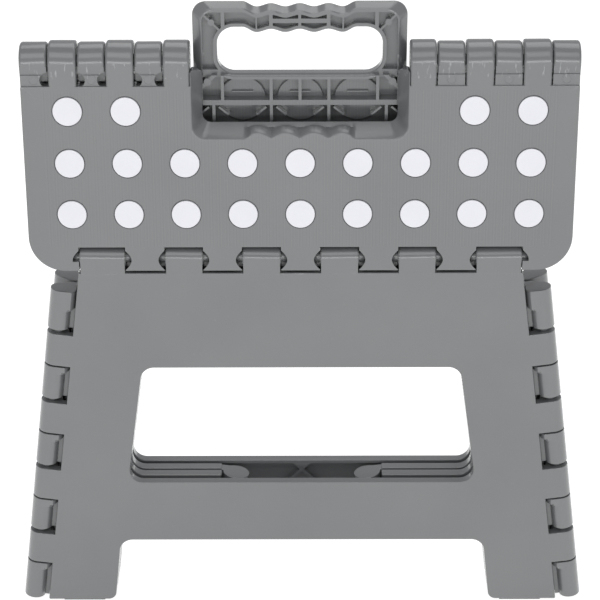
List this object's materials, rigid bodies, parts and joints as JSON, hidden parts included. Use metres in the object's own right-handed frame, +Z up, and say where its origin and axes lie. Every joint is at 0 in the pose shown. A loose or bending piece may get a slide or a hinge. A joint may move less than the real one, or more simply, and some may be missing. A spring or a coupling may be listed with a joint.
{
  "type": "folding step stool",
  "caption": "Folding plastic step stool stored flat: a split slip-resistant top on two panel legs, with inward-folding sides and a carrying handle.",
  "frame": {"origin": "on the floor under the middle of the folded stool, where its feet stand", "axes": "+X to the right across the front, +Y from the front leg to the rear leg, +Z up to the handle"},
  "size_m": [0.3194, 0.0314, 0.3479],
  "materials": {
    "grey_plastic": "fine moulded texture, dark grey polypropylene",
    "pale_inserts": "smooth pale grey anti-slip inserts",
    "dark_pads": "matt dark grey foot pads"
  },
  "bodies": {
    "front_leg": {"front_leg": "grey_plastic", "front_foot_pad_left": "dark_pads", "front_foot_pad_right": "dark_pads"},
    "top_front": {"top_front": "grey_plastic", "top_front_dot_1_1": "pale_inserts", "top_front_dot_1_2": "pale_inserts", "top_front_dot_1_8": "pale_inserts", "top_front_dot_1_9": "pale_inserts", "top_front_dot_2_1": "pale_inserts", "top_front_dot_2_2": "pale_inserts", "top_front_dot_2_3": "pale_inserts", "top_front_dot_2_4": "pale_inserts", "top_front_dot_2_5": "pale_inserts", "top_front_dot_2_6": "pale_inserts", "top_front_dot_2_7": "pale_inserts", "top_front_dot_2_8": "pale_inserts", "top_front_dot_2_9": "pale_inserts", "top_front_dot_3_1": "pale_inserts", "top_front_dot_3_2": "pale_inserts", "top_front_dot_3_3": "pale_inserts", "top_front_dot_3_4": "pale_inserts", "top_front_dot_3_5": "pale_inserts", "top_front_dot_3_6": "pale_inserts", "top_front_dot_3_7": "pale_inserts", "top_front_dot_3_8": "pale_inserts", "top_front_dot_3_9": "pale_inserts"},
    "top_rear": {"top_rear": "grey_plastic", "top_rear_dot_1_1": "pale_inserts", "top_rear_dot_1_2": "pale_inserts", "top_rear_dot_1_4": "pale_inserts", "top_rear_dot_1_5": "pale_inserts", "top_rear_dot_1_6": "pale_inserts", "top_rear_dot_1_8": "pale_inserts", "top_rear_dot_1_9": "pale_inserts", "top_rear_dot_2_1": "pale_inserts", "top_rear_dot_2_2": "pale_inserts", "top_rear_dot_2_3": "pale_inserts", "top_rear_dot_2_4": "pale_inserts", "top_rear_dot_2_5": "pale_inserts", "top_rear_dot_2_6": "pale_inserts", "top_rear_dot_2_7": "pale_inserts", "top_rear_dot_2_8": "pale_inserts", "top_rear_dot_2_9": "pale_inserts", "top_rear_dot_3_1": "pale_inserts", "top_rear_dot_3_2": "pale_inserts", "top_rear_dot_3_3": "pale_inserts", "top_rear_dot_3_4": "pale_inserts", "top_rear_dot_3_5": "pale_inserts", "top_rear_dot_3_6": "pale_inserts", "top_rear_dot_3_7": "pale_inserts", "top_rear_dot_3_8": "pale_inserts", "top_rear_dot_3_9": "pale_inserts"},
    "rear_leg": {"rear_leg": "grey_plastic", "rear_foot_pad_left": "dark_pads", "rear_foot_pad_right": "dark_pads"},
    "side_left_front": {"side_left_front": "grey_plastic"},
    "side_left_rear": {"side_left_rear": "grey_plastic"},
    "side_right_front": {"side_right_front": "grey_plastic"},
    "side_right_rear": {"side_right_rear": "grey_plastic"}
  },
  "joints": [
    {"name": "fold", "type": "hinge", "parent": "front_leg", "child": "top_front", "pos_m": [0, -0.0095, 0.213], "axis": [-1, 0, 0], "range_deg": [0, 87.3]},
    {"name": "top_centre_hinge", "type": "hinge", "parent": "top_front", "child": "top_rear", "pos_m": [0, 0, 0.3192], "axis": [1, 0, 0], "range_deg": [0, 174.7]},
    {"name": "rear_leg_hinge", "type": "hinge", "parent": "top_rear", "child": "rear_leg", "pos_m": [0, 0.0095, 0.213], "axis": [-1, 0, 0], "range_deg": [0, 87.4]},
    {"name": "side_right_front_hinge", "type": "hinge", "parent": "front_leg", "child": "side_right_front", "pos_m": [0.15415, -0.0095, 0], "axis": [0.1314, 0, -0.9913], "range_deg": [0, 87.4]},
    {"name": "side_right_fold", "type": "hinge", "parent": "side_right_front", "child": "side_right_rear", "pos_m": [0.04887, 0, -0.01395], "axis": [-0.1314, 0, 0.9913], "range_deg": [0, 174.7]},
    {"name": "side_left_front_hinge", "type": "hinge", "parent": "front_leg", "child": "side_left_front", "pos_m": [-0.15415, -0.0095, 0], "axis": [0.1314, 0, 0.9913], "range_deg": [0, 87.4]},
    {"name": "side_left_fold", "type": "hinge", "parent": "side_left_front", "child": "side_left_rear", "pos_m": [-0.04887, 0, -0.01395], "axis": [-0.1314, 0, -0.9913], "range_deg": [0, 174.7]}
  ],
  "couplings": [
    {"joint": "top_centre_hinge", "follows": "fold", "ratio": 2},
    {"joint": "rear_leg_hinge", "follows": "fold", "ratio": 1},
    {"joint": "side_right_front_hinge", "follows": "fold", "ratio": 1},
    {"joint": "side_right_fold", "follows": "fold", "ratio": 2},
    {"joint": "side_left_front_hinge", "follows": "fold", "ratio": 1},
    {"joint": "side_left_fold", "follows": "fold", "ratio": 2}
  ]
}
